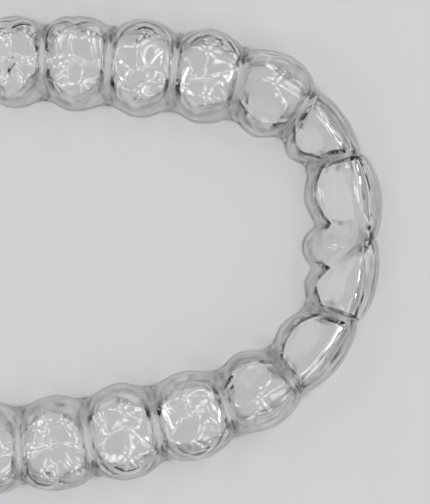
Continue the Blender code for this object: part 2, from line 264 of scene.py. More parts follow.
# Columns of a cup's eight reaches: rim, belly, shoulder and edge at the cheek side, then at the tongue side
RIM = 0
BELLY = 1
EDGE = 3
TONGUE = 4

Cup = namedtuple("Cup", "form width turn outer inner height phase")
Crease = namedtuple("Crease", "reaches heights")
Finish = namedtuple("Finish", "polished hazy grain")

# Mesh steps, and the few that are enough to place the camera
Steps = namedtuple("Steps", "along wall table end")
FEW_STEPS = Steps(10, 5, 8, 10)


def cup(form, width, turn, outer, inner, height):
    """One tooth cup. Lengths are in millimetres here, and the turn of the row in degrees."""
    phase = turn + PHASE_PER_HEIGHT * height
    return Cup(form, width * MM, math.radians(turn), outer * MM, inner * MM, height * MM, phase)


# Each arm from the midline back: length along the row, turn, reach to cheek, reach to tongue, height
RIGHT_ARM = (
    cup("incisor", 8.4, 13.0, 4.2, 3.7, 9.5),
    cup("incisor", 6.5, 41.0, 2.8, 4.2, 9.1),
    cup("canine", 7.3, 25.0, 4.4, 4.75, 9.5),
    cup("premolar", 6.9, 4.0, 5.0, 4.8, 8.1),
    cup("premolar", 6.9, 2.0, 5.2, 5.0, 7.8),
    cup("molar", 6.9, 3.0, 5.0, 4.9, 7.4),
    cup("molar", 6.6, 2.0, 4.8, 4.8, 7.0),
)
LEFT_ARM = (
    cup("incisor", 8.1, 19.0, 3.9, 3.6, 9.5),
    cup("incisor", 8.0, 35.0, 3.3, 3.9, 9.1),
    cup("canine", 7.2, 18.0, 4.2, 4.45, 9.5),
    cup("premolar", 7.6, 5.0, 4.8, 4.6, 8.1),
    cup("premolar", 7.3, 3.0, 5.2, 5.0, 7.8),
    cup("molar", 7.3, 5.0, 5.1, 4.9, 7.4),
    cup("molar", 6.9, 3.0, 5.0, 4.9, 7.0),
)


class SheetSettings(bpy.types.PropertyGroup):
    """Sizes of the formed sheet."""

    thickness: bpy.props.FloatProperty(
        name="Thickness",
        description="Thickness of the formed sheet",
        default=0.62 * MM,
        min=0.2 * MM,
        max=1.5 * MM,
        unit="LENGTH",
        precision=5,
    )
    wave_height: bpy.props.FloatProperty(
        name="Wave Height",
        description="Height of the slow unevenness left by forming",
        default=0.022 * MM,
        min=0.0,
        max=0.1 * MM,
        unit="LENGTH",
        precision=6,
    )
    wave_length: bpy.props.FloatProperty(
        name="Wave Length",
        description="Typical distance between two waves of the unevenness",
        default=2.4 * MM,
        min=0.5 * MM,
        max=10.0 * MM,
        unit="LENGTH",
        precision=5,
    )
    ripple_height: bpy.props.FloatProperty(
        name="Ripple Height",
        description="Height of the low steps on the cheek side, left by the layers of the printed model",
        default=0.05 * MM,
        min=0.0,
        max=0.1 * MM,
        unit="LENGTH",
        precision=6,
    )
    ripple_pitch: bpy.props.FloatProperty(
        name="Ripple Pitch",
        description="Rise of the wall between two ripples",
        default=1.0 * MM,
        min=0.2 * MM,
        max=3.0 * MM,
        unit="LENGTH",
        precision=5,
    )
    steps_along: bpy.props.IntProperty(
        name="Steps Along",
        description="Sections of the mesh in one cup",
        default=36,
        min=8,
        max=60,
    )
    steps_wall: bpy.props.IntProperty(
        name="Steps Up",
        description="Mesh rows from the trim line to the biting surface",
        default=16,
        min=4,
        max=40,
    )
    steps_table: bpy.props.IntProperty(
        name="Steps Across",
        description="Mesh rows over the biting surface, an even number",
        default=44,
        min=6,
        max=80,
    )
    steps_end: bpy.props.IntProperty(
        name="Steps Round An End",
        description="Mesh fans behind a last molar, an even number",
        default=36,
        min=6,
        max=80,
    )


class PlasticSettings(bpy.types.PropertyGroup):
    """Finish of the clear sheet."""

    colour: bpy.props.FloatVectorProperty(
        name="Colour",
        description="Tint of the clear sheet",
        subtype="COLOR",
        size=4,
        min=0.0,
        max=1.0,
        default=(0.97, 0.975, 0.975, 1.0),
    )
    roughness: bpy.props.FloatProperty(
        name="Roughness",
        description="Roughness of the polished stretches",
        default=POLISHED,
        min=0.0,
        max=1.0,
    )
    depth_tone: bpy.props.FloatProperty(
        name="Depth Tone",
        description="Light that the plastic takes for each metre of its depth, which darkens its edges",
        default=45.0,
        min=0.0,
        max=1000.0,
    )
    gloss: bpy.props.FloatProperty(
        name="Gloss",
        description="Weight of the polished skin over the plastic",
        default=0.5,
        min=0.0,
        max=1.0,
    )
    ior: bpy.props.FloatProperty(
        name="Refraction",
        description="Index of refraction of the plastic",
        default=1.57,
        min=1.3,
        max=1.8,
    )
    scuff_roughness: bpy.props.FloatProperty(
        name="Scuff Roughness",
        description="Roughness of the faint haze and specks",
        default=HAZY,
        min=0.0,
        max=1.0,
    )
    line_pitch: bpy.props.FloatProperty(
        name="Line Pitch",
        description="Distance between two fine layer lines taken over from the printed model",
        default=LINE_PITCH,
        min=0.05 * MM,
        max=1.0 * MM,
        unit="LENGTH",
        precision=5,
    )
    line_depth: bpy.props.FloatProperty(
        name="Line Depth",
        description="Depth of the fine layer lines",
        default=LINE_DEPTH,
        min=0.0,
        max=0.05 * MM,
        unit="LENGTH",
        precision=6,
    )


class StageSettings(bpy.types.PropertyGroup):
    """Plain studio round the aligner."""

    floor_colour: bpy.props.FloatVectorProperty(
        name="Floor Colour",
        description="Colour of the floor",
        subtype="COLOR",
        size=4,
        min=0.0,
        max=1.0,
        default=(0.56, 0.565, 0.57, 1.0),
    )
    world_strength: bpy.props.FloatProperty(
        name="Room Light",
        description="Strength of the even light of the room",
        default=0.05,
        min=0.0,
        max=2.0,
    )
    overhead_strength: bpy.props.FloatProperty(
        name="Overhead Strength",
        description="Strength of the lamp overhead",
        default=1.35,
        min=0.0,
        max=10.0,
    )
    overhead_size: bpy.props.FloatProperty(
        name="Overhead Size",
        description="Angle that the lamp overhead spans, seen from the aligner",
        default=math.radians(3.5),
        min=0.0,
        max=math.radians(90.0),
        subtype="ANGLE",
    )
    soft_strength: bpy.props.FloatProperty(
        name="Soft Lamp Strength",
        description="Strength of each soft lamp halfway up",
        default=0.18,
        min=0.0,
        max=10.0,
    )
    soft_size: bpy.props.FloatProperty(
        name="Soft Lamp Size",
        description="Angle that each soft lamp halfway up spans, seen from the aligner",
        default=math.radians(20.0),
        min=0.0,
        max=math.radians(90.0),
        subtype="ANGLE",
    )
    accent_strength: bpy.props.FloatProperty(
        name="Accent Strength",
        description="Strength of each accent lamp high up",
        default=0.32,
        min=0.0,
        max=10.0,
    )
    accent_size: bpy.props.FloatProperty(
        name="Accent Size",
        description="Angle that each accent lamp high up spans, seen from the aligner",
        default=math.radians(18.0),
        min=0.0,
        max=math.radians(90.0),
        subtype="ANGLE",
    )
    low_strength: bpy.props.FloatProperty(
        name="Low Lamp Strength",
        description="Strength of each lamp near the floor",
        default=0.13,
        min=0.0,
        max=10.0,
    )
    low_size: bpy.props.FloatProperty(
        name="Low Lamp Size",
        description="Angle that each lamp near the floor spans, seen from the aligner",
        default=math.radians(12.0),
        min=0.0,
        max=math.radians(90.0),
        subtype="ANGLE",
    )
    camera_height: bpy.props.FloatProperty(
        name="Camera Height",
        description="Height of the camera above the middle of the tooth cups",
        default=0.17,
        min=0.05,
        max=2.0,
        unit="LENGTH",
    )


def soft_max(a, b, softness):
    """The greater of two heights, with the corner between them rounded."""
    return softness * np.logaddexp(a / softness, b / softness)


def round_distance(distance, radius):
    """Grows like distance, but starts flat, as a rounded tip does."""
    return np.sqrt(distance**2 + radius**2) - radius


def wandered(tooth, along, across):
    """Places over a back tooth moved a little, so that its fissures wander in their own way."""
    swing = 2 * math.pi / WANDER_LENGTH
    moved_along = along + WANDER * np.sin(swing * across + tooth.phase)
    return moved_along, across + WANDER * np.sin(swing * along + 2 * tooth.phase)


def cusp_cones(tooth, along, across):
    """Chewing surface of a back tooth: rounded cones that meet in fissures, and two marginal ridges."""
    height = np.full(np.broadcast(along, across).shape, -1.0)
    along, across = wandered(tooth, along, across)
    for cusp_along, cusp_across, drop in CUSPS[tooth.form]:
        far = np.hypot(along - cusp_along, across - cusp_across)
        around = np.arctan2(across - cusp_across, along - cusp_along)
        far = far * (1 + CUSP_LOBE_SHARE * np.sin(CUSP_LOBES * around + tooth.phase))
        cone = tooth.height - drop - CUSP_SLOPE * round_distance(far, CUSP_ROUND)
        height = soft_max(height, cone, FISSURE_SOFTNESS)
    for side in (-1, 1):
        beyond = np.maximum(np.abs(across) - RIDGE_HALF_SPAN, 0.0)
        far = np.hypot(along - side * (tooth.width / 2 - RIDGE_SETBACK), beyond)
        ridge = tooth.height - RIDGE_DROP[tooth.form] - CUSP_SLOPE * round_distance(far, CUSP_ROUND)
        height = soft_max(height, ridge, FISSURE_SOFTNESS)
    return height


def front_slope(tooth, along, across):
    """Biting edge of a front tooth, falling in a hollow to the cingulum on the tongue side."""
    form = FORMS[tooth.form]
    behind = np.maximum(tooth.outer - form.inset_out - across, 0.0)
    fall = PALATE_SLOPE * round_distance(behind, EDGE_ROUND)
    if tooth.form == "canine":
        fall = fall * CANINE_PALATE_SHARE + CANINE_FALL * round_distance(along, CANINE_ROUND)
    beside = np.abs(along) - (tooth.width / 2 - SIDE_RIDGE_SETBACK)
    side_ridge = SIDE_RIDGE_HEIGHT * np.exp(-((beside / SIDE_RIDGE_WIDTH) ** 2))
    side_ridge = side_ridge * np.clip(behind / EDGE_ROUND - SIDE_RIDGE_START, 0.0, 1.0)
    crown = 1.0 - CINGULUM_CROWN * (along / tooth.width) ** 2
    slope = tooth.height - fall + side_ridge
    return soft_max(slope, CINGULUM_HEIGHT * crown, CINGULUM_SOFTNESS)


def biting_height(tooth, along, across):
    """Height of the outer surface over the tooth, away from its neighbours."""
    if tooth.form in CUSPS:
        return cusp_cones(tooth, along, across)
    return front_slope(tooth, along, across)


def middle_reaches(tooth):
    """Reaches at the middle of a cup: rim, belly, shoulder and edge, cheek side and then tongue side."""
    form = FORMS[tooth.form]
    reaches = []
    for reach, inset in ((tooth.outer, form.inset_out), (tooth.inner, form.inset_in)):
        shoulder = reach - inset * (1 - SHOULDER_SHARE)
        reaches += [reach - RIM_TUCK, reach + BELLY_SWELL, shoulder, reach - inset]
    return np.array(reaches)


def crease_reaches(tooth):
    """The same eight reaches where the cup meets its neighbour."""
    form = FORMS[tooth.form]
    sides = (
        (tooth.outer, form.notch_out, form.gap_out, WEB_NOTCH_OUT),
        (tooth.inner, form.notch_in, form.gap_in, WEB_NOTCH_IN),
    )
    reaches = []
    for reach, notch, gap, web in sides:
        rim = reach - RIM_TUCK - web
        reaches += [rim, reach - notch - BELLY_TUCK, reach - notch, reach - notch - gap]
    return np.array(reaches)


def crease_heights(tooth):
    """Heights of the groove beside the cup: at the cheek side, in the middle and at the tongue side."""
    return tooth.height - np.array(FORMS[tooth.form].drops)


def bulb_share(gap, tooth):
    """0 where two cups meet and 1 at the middle of a cup, round like the plan of a crown."""
    half = tooth.width / 2
    soft_gap = round_distance(gap, CORNER_SOFTNESS) / round_distance(half, CORNER_SOFTNESS)
    power = FORMS[tooth.form].roundness
    return (1 - (1 - soft_gap) ** power) ** (1 / power)


def groove_share(gap, width, groove):
    """0 at the bottom of the groove between two cups and 1 at the middle of a cup."""
    full = (width / 2) ** 2 / ((width / 2) ** 2 + groove**2)
    return gap**2 / (gap**2 + groove**2) / full


def valley_gap(from_midline, inward):
    """Distance from the near side of the valley between the two central incisors."""
    right, left = (start + growth * inward for start, growth in (VALLEY_RIGHT, VALLEY_LEFT))
    half = np.maximum(np.where(from_midline < 0, right, left), 0.0)
    return np.maximum(np.abs(from_midline) - half, 0.0)


def rim_height(place):
    """The trim line is flat under a cup and rises a little between two cups."""
    step = np.clip((np.abs(place) - RIM_LAND) / (1 - RIM_LAND), 0.0, 1.0)
    return RIM_LIFT * step**2 * (3 - 2 * step)


def bezier(points, share):
    """Cubic curve through four control values."""
    a, b, c, d = points
    rest = 1 - share
    return a * rest**3 + 3 * b * rest**2 * share + 3 * c * rest * share**2 + d * share**3


def wall_heights(foot, top, share, settle=0.0):
    """Heights of a wall from foot to top. It ends level, or still rising where settle is above 0."""
    middle = foot + BELLY_SHARE * (top - foot)
    return bezier((foot, middle, top - settle, top), share)


def papilla_place(from_midline):
    """Place across the bulge between the central incisors: 0 at its middle and 1 or -1 at its sides."""
    return (from_midline - PAPILLA_OFFSET) / PAPILLA_HALF_WIDTH


def papilla_reaches(reaches, from_midline):
    """Reaches on the tongue side, widened by the bulge over the gum between the central incisors."""
    off = papilla_place(from_midline)
    reach = PAPILLA_REACH - PAPILLA_ROUNDING * off**2 - PAPILLA_CLOSING * off**6
    insets = (0.0, -BELLY_SWELL, PAPILLA_TOP_INSET * (1 - SHOULDER_SHARE), PAPILLA_TOP_INSET)
    for column, inset in enumerate(insets, start=TONGUE):
        reaches[:, column] = soft_max(reaches[:, column], reach - inset, CORNER_SOFTNESS)
    return reaches


def valley_top(top, low, across, from_midline, width):
    """Surface sunk into the valley between the two central incisors."""
    gap = valley_gap(from_midline, -across)
    return low + (top - low) * groove_share(gap, width, VALLEY_WIDTH)


def papilla_top(top, low, across, from_midline):
    """Surface raised by the bulge over the gum, which narrows towards the biting edges."""
    forward = round_distance(np.maximum(across + PAPILLA_MIDDLE, 0.0), PAPILLA_CREST)
    narrowing = np.maximum(1 - PAPILLA_TAPER * forward, PAPILLA_LEAST)
    off = from_midline[:, None] - PAPILLA_OFFSET * narrowing
    crown = 1 - (off / (PAPILLA_HALF_WIDTH * narrowing)) ** 2
    bulge = PAPILLA_BULGE * narrowing**PAPILLA_FLATTENING * crown
    return soft_max(top, low + bulge, PAPILLA_SOFTNESS)


def crease_line(heights, table):
    """Height of a groove across the row, a parabola through its three heights."""
    side, middle, tongue = (heights[:, k : k + 1] for k in range(3))
    rest = 1 - table
    return side * rest * (rest - table) + middle * 4 * table * rest + tongue * table * (table - rest)


def cup_sections(tooth, steps, places, before, after, arm, from_midline):
    """Outer sections of one cup. before and after are the creases on its two sides."""
    is_after = (places > 0)[:, None]
    crease = np.where(is_after, after.reaches, before.reaches)
    gap = (1 - np.abs(places)) * tooth.width / 2
    share = np.repeat(bulb_share(gap, tooth)[:, None], crease.shape[1], axis=1)
    if from_midline is not None:
        inner_gap = np.minimum(gap, valley_gap(from_midline, VALLEY_DEPTH))
        share[:, TONGUE + BELLY :] = bulb_share(inner_gap, tooth)[:, None]
    share[:, (RIM, TONGUE + RIM)] = (np.cos(np.pi / 2 * places) ** 2)[:, None]
    reaches = crease + (middle_reaches(tooth) - crease) * share
    if from_midline is not None:
        reaches = papilla_reaches(reaches, from_midline)
    reaches = np.split(reaches, reaches.shape[1], axis=1)
    table = table_shares(steps)[None, :]
    across = reaches[EDGE] - (reaches[EDGE] + reaches[TONGUE + EDGE]) * table
    low = crease_line(np.where(is_after, after.heights, before.heights), table)
    high = biting_height(tooth, (places * tooth.width / 2 * arm)[:, None], across)
    top = low + (high - low) * groove_share(gap[:, None], tooth.width, GROOVE_WIDTH)
    settle = 0.0
    if from_midline is not None:
        top = valley_top(top, low, across, from_midline[:, None], tooth.width)
        top = papilla_top(top, low, across, from_midline)
        settle = PAPILLA_SETTLE * np.maximum(1 - papilla_place(from_midline[:, None]) ** 2, 0.0)
    foot = rim_height(places)[:, None]
    climb = np.linspace(0, 1, steps.wall + 1)[None, :]
    out_x, in_x = bezier(reaches[:TONGUE], climb), bezier(reaches[TONGUE:], climb)
    out_z = wall_heights(foot, top[:, :1], climb)
    in_z = wall_heights(foot, top[:, -1:], climb, settle)
    x = np.hstack([out_x[:, :-1], across, -in_x[:, -2::-1]])
    z = np.hstack([out_z[:, :-1], top, in_z[:, -2::-1]])
    return x, z


def table_shares(steps):
    """Shares of the way over the biting surface, closer together near its two edges."""
    even = np.linspace(0, 1, steps.table + 1)
    return EDGE_CROWDING * (1 - np.cos(np.pi * even)) / 2 + (1 - EDGE_CROWDING) * even


def cup_places(steps):
    """Places of the sections along a cup, from -1 to 1, closer together near the creases."""
    even = np.linspace(-1, 1, steps.along + 1)
    return CREASE_CROWDING * np.sin(np.pi / 2 * even) + (1 - CREASE_CROWDING) * even


def arm_starts(cups, arm):
    """Start point and heading of each cup of an arm, walking back from the midline."""
    x, y, heading = 0.0, 0.0, 0.0
    starts = []
    for tooth in cups:
        starts.append((x, y, heading))
        x, y = arc_point(tooth, (x, y, heading), 1.0, 1)[0]
        heading += tooth.turn
    return [(arm * sx, sy, sh) for sx, sy, sh in starts]


def arc_point(tooth, start, share, arm):
    """A point of the row at a share of a cup's arc, and the direction out to the cheek there."""
    x, y, heading = start
    angle = heading + tooth.turn * share
    radius = tooth.width / tooth.turn
    px = x + arm * radius * (np.sin(angle) - np.sin(heading))
    py = y - radius * (np.cos(angle) - np.cos(heading))
    return (px, py), (arm * np.sin(angle), -np.cos(angle))


def row_of_cups():
    """All cups from the end of the right arm round to the end of the left arm."""
    right = list(zip(RIGHT_ARM, arm_starts(RIGHT_ARM, 1), [1] * len(RIGHT_ARM)))
    left = list(zip(LEFT_ARM, arm_starts(LEFT_ARM, -1), [-1] * len(LEFT_ARM)))
    return right[::-1] + left


def contact(first, second):
    """The crease that two neighbours share."""
    reaches = (crease_reaches(first) + crease_reaches(second)) / 2
    if first is RIGHT_ARM[0] and second is LEFT_ARM[0]:
        return Crease(reaches, first.height - np.array(MIDLINE_DROPS))
    return Crease(reaches, (crease_heights(first) + crease_heights(second)) / 2)


def place_section(tooth, start, arm, places, x, z):
    """Section points of one cup as points in space."""
    share = (1 - places * arm) / 2
    (px, py), (nx, ny) = arc_point(tooth, start, share, arm)
    return np.stack([px[:, None] + nx[:, None] * x, py[:, None] + ny[:, None] * x, z], axis=2)


def end_fan(tooth, steps, start, arm, x):
    """Rounded end behind a last molar, as half turns from its cheek side to its tongue side."""
    middle = steps.wall + steps.table // 2
    power = FORMS[tooth.form].roundness
    climb = np.linspace(0, 1, steps.wall + 1)
    end = tooth.width / 2 + END_REACH
    shoulder = end - END_INSET * (1 - SHOULDER_SHARE)
    back = bezier((end - RIM_TUCK, end + BELLY_SWELL, shoulder, end - END_INSET), climb)
    level = 1 - 2 * table_shares(steps)[: steps.table // 2 + 1]
    back = np.concatenate([back[:-1], back[-1] * level])
    (px, py), (nx, ny) = arc_point(tooth, start, 0.5, arm)
    tx, ty = -ny, nx
    rows = []
    for angle in np.linspace(0, math.pi, steps.end + 1)[1:-1]:
        cos = abs(math.cos(angle)) ** (2 / power)
        sin = math.sin(angle) ** (2 / power)
        side = x[: middle + 1] if angle <= math.pi / 2 else x[: middle - 1 : -1]
        across = x[middle] + (side - x[middle]) * cos
        along = back * sin
        top = biting_height(tooth, along, across)
        rise = wall_heights(0.0, top[steps.wall], climb)
        height = np.concatenate([rise[:-1], top[steps.wall :]])
        out_x = px + nx * across + arm * tx * along
        out_y = py + ny * across + arm * ty * along
        rows.append(np.stack([out_x, out_y, height], axis=1)[:-1])
    return rows


def outer_grid(steps):
    """Points of the outer surface: sections round the row, and the fans that close its two ends."""
    row = row_of_cups()
    full = cup_places(steps)
    sections, fans = [], []
    last = len(row) - 1
    for k, (tooth, start, arm) in enumerate(row):
        before = contact(row[k - 1][0], tooth) if k else contact(tooth, tooth)
        after = contact(tooth, row[k + 1][0]) if k < last else contact(tooth, tooth)
        places = full[1:]
        if k == 0:
            places = full[full >= 0]
        if k == last:
            places = full[1:][full[1:] <= 0]
        midline = None
        if k == last // 2:
            midline = (places - 1) * tooth.width / 2
        if k == last // 2 + 1:
            midline = (places + 1) * tooth.width / 2
        x, z = cup_sections(tooth, steps, places, before, after, -arm, midline)
        sections.append(place_section(tooth, start, arm, places, x, z))
        if k in (0, last):
            fans.append(end_fan(tooth, steps, start, arm, x[0 if k == 0 else -1]))
    return np.concatenate(sections), fans


def outer_sheet(steps):
    """Vertices and faces of the outer surface, open along the trim line."""
    grid, fans = outer_grid(steps)
    count, wide = grid.shape[:2]
    points = list(grid.reshape(-1, 3))
    faces = []
    for i in range(count - 1):
        for j in range(wide - 1):
            here = i * wide + j
            faces.append((here, here + wide, here + wide + 1, here + 1))
    rim = [i * wide for i in range(count)]
    back_rim = [i * wide + wide - 1 for i in range(count)]
    middle = wide // 2
    ends = []
    for station, fan in ((0, fans[0]), (count - 1, fans[1])):
        base = station * wide
        lines = [[base + j for j in range(middle)]]
        for turn in fan:
            lines.append([len(points) + j for j in range(middle)])
            points.extend(turn)
        lines.append([base + wide - 1 - j for j in range(middle)])
        for one, two in zip(lines, lines[1:]):
            for j in range(middle - 1):
                faces.append(turned((one[j], one[j + 1], two[j + 1], two[j]), station > 0))
            faces.append(turned((one[-1], base + middle, two[-1]), station > 0))
        ends.append([line[0] for line in lines[1:-1]])
    loop = rim + ends[1] + back_rim[::-1] + ends[0][::-1]
    return np.array(points), faces, loop


def turned(face, flip):
    """The face, wound the other way round if flip is set."""
    return face[::-1] if flip else face


def waves(points, length, seed):
    """Slow unevenness between about -1 and 1 at each point."""
    random = np.random.default_rng(seed)
    total = np.zeros(len(points))
    for _ in range(WAVES):
        direction = random.normal(size=3)
        direction /= np.linalg.norm(direction)
        stretch = random.uniform(*WAVE_STRETCH)
        phase = random.uniform(0.0, 2 * math.pi)
        total += np.sin(2 * math.pi * points @ direction / (length * stretch) + phase)
    return total / math.sqrt(WAVES)


def wall_ripples(points, normals, pitch):
    """Low steps along the cheek side of the walls, between -1 and 1, fading out elsewhere."""
    away = points[:, :2] - points[:, :2].mean(axis=0)
    away /= np.linalg.norm(away, axis=1)[:, None]
    facing_out = (normals[:, :2] * away).sum(axis=1)
    steep = np.clip((facing_out - RIPPLE_START) / RIPPLE_FADE, 0.0, 1.0)
    bend = RIPPLE_BEND * waves(points, RIPPLE_BEND_COUNT * pitch, OUTER_WAVE_SEED)
    return steep * np.sin(2 * math.pi * points[:, 2] / pitch + bend)


def outward_normals(points, faces):
    """Normals of the outer surface at its points, away from the teeth."""
    skin = bpy.data.meshes.new("outer_skin")
    skin.from_pydata(points.tolist(), [], faces)
    normals = np.array([vertex.normal[:] for vertex in skin.vertices])
    bpy.data.meshes.remove(skin)
    return -normals if normals[:, 2].sum() < 0 else normals


def thicken(points, faces, loop, sheet):
    """Closed shell: the outer surface, the same surface a sheet's thickness inside it, and the rim."""
    normals = outward_normals(points, faces)
    uneven = sheet.wave_height * waves(points, sheet.wave_length, OUTER_WAVE_SEED)
    uneven_inside = sheet.wave_height * waves(points, sheet.wave_length, INNER_WAVE_SEED)
    ripple = sheet.ripple_height * wall_ripples(points, normals, sheet.ripple_pitch)
    uneven += ripple
    uneven_inside -= ripple
    uneven[loop] = 0.0
    uneven_inside[loop] = 0.0
    outside = points + uneven[:, None] * normals
    inside = points - (sheet.thickness + uneven_inside)[:, None] * normals
    level = normals[loop].copy()
    level[:, 2] = 0.0
    level /= np.linalg.norm(level, axis=1)[:, None]
    inside[loop] = points[loop] - sheet.thickness * level
    count = len(points)
    shell = list(faces)
    shell += [tuple(index + count for index in face[::-1]) for face in faces]
    for one, two in zip(loop, loop[1:] + loop[:1]):
        shell.append((two, one, one + count, two + count))
    return np.vstack([outside, inside]), shell


def row_shift(points):
    """Move that puts the shell's box over the box of the CAD shell."""
    low, high = points.min(axis=0), points.max(axis=0)
    cad_low, cad_high = np.array(SHELL_LOW), np.array(SHELL_HIGH)
    shift = (cad_low + cad_high - low - high) / 2
    shift[2] = cad_low[2] - low[2]
    return shift


def new_group(name, inputs, outputs):
    """Empty shader node group with its sockets, and its input and output nodes."""
    group = bpy.data.node_groups.new(name, "ShaderNodeTree")
    for label, kind, value in inputs:
        socket = group.interface.new_socket(label, in_out="INPUT", socket_type=kind)
        socket.default_value = value
    for label, kind in outputs:
        group.interface.new_socket(label, in_out="OUTPUT", socket_type=kind)
    return group, group.nodes.new("NodeGroupInput"), group.nodes.new("NodeGroupOutput")


def math_node(tree, operation, first, second=None):
    """Math node fed by sockets or numbers. Returns its output."""
    node = tree.nodes.new("ShaderNodeMath")
    node.operation = operation
    for slot, value in zip(node.inputs, (first, second)):
        if isinstance(value, bpy.types.NodeSocket):
            tree.links.new(value, slot)
        elif value is not None:
            slot.default_value = value
    return node.outputs[0]


def mapped(tree, source, span, target):
    """Value moved from one span to another, and kept inside it."""
    node = tree.nodes.new("ShaderNodeMapRange")
    tree.links.new(source, node.inputs["Value"])
    names = ("From Min", "From Max", "To Min", "To Max")
    for name, value in zip(names, span + target):
        if isinstance(value, bpy.types.NodeSocket):
            tree.links.new(value, node.inputs[name])
        else:
            node.inputs[name].default_value = value
    return node.outputs["Result"]


def noise_texture(tree, where, noise):
    """Noise over the object's own space, given as scale and detail. Returns its value."""
    node = tree.nodes.new("ShaderNodeTexNoise")
    node.inputs["Scale"].default_value, node.inputs["Detail"].default_value = noise
    tree.links.new(where, node.inputs["Vector"])
    return node.outputs["Fac"]


def wall_mask(tree):
    """1 on the steep walls and 0 on the biting surface."""
    facing = tree.nodes.new("ShaderNodeTexCoord").outputs["Normal"]
    split = tree.nodes.new("ShaderNodeSeparateXYZ")
    tree.links.new(facing, split.inputs[0])
    level = math_node(tree, "ABSOLUTE", split.outputs["Z"])
    return mapped(tree, level, WALL_SPAN, (1.0, 0.0))


def forming_marks():
    """Height of the marks that forming leaves: layer lines of the printed model, grain and dents."""
    inputs = (
        ("Line Pitch", "NodeSocketFloat", LINE_PITCH),
        ("Line Depth", "NodeSocketFloat", LINE_DEPTH),
        ("Grain Depth", "NodeSocketFloat", SHEET_GRAIN),
        ("Dent Depth", "NodeSocketFloat", DENT_DEPTH),
    )
    group, given, out = new_group("forming_marks", inputs, (("Height", "NodeSocketFloat"),))
    depths = given.outputs
    where = group.nodes.new("ShaderNodeTexCoord").outputs["Object"]
    split = group.nodes.new("ShaderNodeSeparateXYZ")
    group.links.new(where, split.inputs[0])
    drift = math_node(group, "MULTIPLY", noise_texture(group, where, DRIFT_NOISE), LINE_DRIFT)
    level = math_node(group, "ADD", split.outputs["Z"], drift)
    turn = math_node(group, "DIVIDE", level, depths["Line Pitch"])
    wave = math_node(group, "SINE", math_node(group, "MULTIPLY", turn, 2 * math.pi))
    patch = mapped(group, noise_texture(group, where, PATCH_NOISE), PATCH_SPAN, PATCH_STRENGTH)
    patch = math_node(group, "MULTIPLY", patch, wall_mask(group))
    lines = math_node(group, "MULTIPLY", wave, patch)
    lines = math_node(group, "MULTIPLY", lines, depths["Line Depth"])
    grain = math_node(group, "MULTIPLY", noise_texture(group, where, GRAIN_NOISE), depths["Grain Depth"])
    dents = math_node(group, "MULTIPLY", noise_texture(group, where, DENT_NOISE), depths["Dent Depth"])
    height = math_node(group, "ADD", math_node(group, "ADD", lines, grain), dents)
    group.links.new(height, out.inputs["Height"])
    return group


def haze_specks():
    """Roughness of a handled clear surface: polished, with faint hazy patches and small specks."""
    inputs = (
        ("Polished", "NodeSocketFloat", POLISHED),
        ("Hazy", "NodeSocketFloat", HAZY),
        ("Speck Share", "NodeSocketFloat", SPECK_SHARE),
    )
    group, given, out = new_group("haze_specks", inputs, (("Roughness", "NodeSocketFloat"),))
    where = group.nodes.new("ShaderNodeTexCoord").outputs["Object"]
    patch = mapped(group, noise_texture(group, where, HAZE_NOISE), HAZE_SPAN, (0.0, 1.0))
    cells = group.nodes.new("ShaderNodeTexVoronoi")
    cells.inputs["Scale"].default_value = SPECK_SCALE
    group.links.new(where, cells.inputs["Vector"])
    specks = mapped(group, cells.outputs["Distance"], SPECK_SPAN, (given.outputs["Speck Share"], 0.0))
    mask = math_node(group, "MAXIMUM", math_node(group, "MULTIPLY", patch, HAZE_SHARE), specks)
    span = math_node(group, "SUBTRACT", given.outputs["Hazy"], given.outputs["Polished"])
    added = math_node(group, "MULTIPLY", mask, span)
    group.links.new(math_node(group, "ADD", given.outputs["Polished"], added), out.inputs["Roughness"])
    return group


def place_group(tree, group, values):
    """Puts a node group in a material with its own values."""
    node = tree.nodes.new("ShaderNodeGroup")
    node.node_tree = group
    for name, value in values.items():
        node.inputs[name].default_value = value
    return node


def clear_material(name, plastic, groups, finish):
    """Clear plastic with the forming marks. It lets soft light through to the floor beneath it."""
    marks_group, haze_group = groups
    material = bpy.data.materials.new(name)
    material.use_nodes = True
    tree = material.node_tree
    shader = tree.nodes["Principled BSDF"]
    shader.inputs["Metallic"].default_value = 0.0
    shader.inputs["IOR"].default_value = plastic.ior
    shader.inputs["Transmission Weight"].default_value = 1.0
    shader.inputs["Coat Weight"].default_value = plastic.gloss
    shader.inputs["Coat Roughness"].default_value = SKIN_ROUGHNESS
    depth = tree.nodes.new("ShaderNodeVolumeAbsorption")
    depth.inputs["Color"].default_value = DEPTH_COLOUR
    depth.inputs["Density"].default_value = plastic.depth_tone
    tree.links.new(depth.outputs["Volume"], tree.nodes["Material Output"].inputs["Volume"])
    # Base colour carries painted shade: dark outlines where the sheet is seen edge on
    tree.links.new(painted_edge_shade(tree, plastic.colour), shader.inputs["Base Color"])
    haze = place_group(tree, haze_group, {"Polished": finish.polished, "Hazy": finish.hazy})
    tree.links.new(haze.outputs["Roughness"], shader.inputs["Roughness"])
    marks = place_group(
        tree,
        marks_group,
        {
            "Line Pitch": plastic.line_pitch,
            "Line Depth": plastic.line_depth,
            "Grain Depth": finish.grain,
        },
    )
    bump = tree.nodes.new("ShaderNodeBump")
    bump.inputs["Distance"].default_value = 1.0
    tree.links.new(marks.outputs["Height"], bump.inputs["Height"])
    tree.links.new(bump.outputs["Normal"], shader.inputs["Normal"])
    pass_through(tree, shader)
    return material


def painted_edge_shade(tree, colour):
    """The sheet's colour with painted shade: darker where it is seen edge on, which draws dark outlines.
    Returns the colour's socket.
    """
    facing = tree.nodes.new("ShaderNodeLayerWeight").outputs["Facing"]
    mix = tree.nodes.new("ShaderNodeMix")
    mix.data_type = "RGBA"
    mix.inputs["A"].default_value = colour
    mix.inputs["B"].default_value = PAINTED_EDGE_SHADE
    tree.links.new(mapped(tree, facing, PAINTED_EDGE_SHADE_SPAN, (0.0, 1.0)), mix.inputs["Factor"])
    return mix.outputs["Result"]


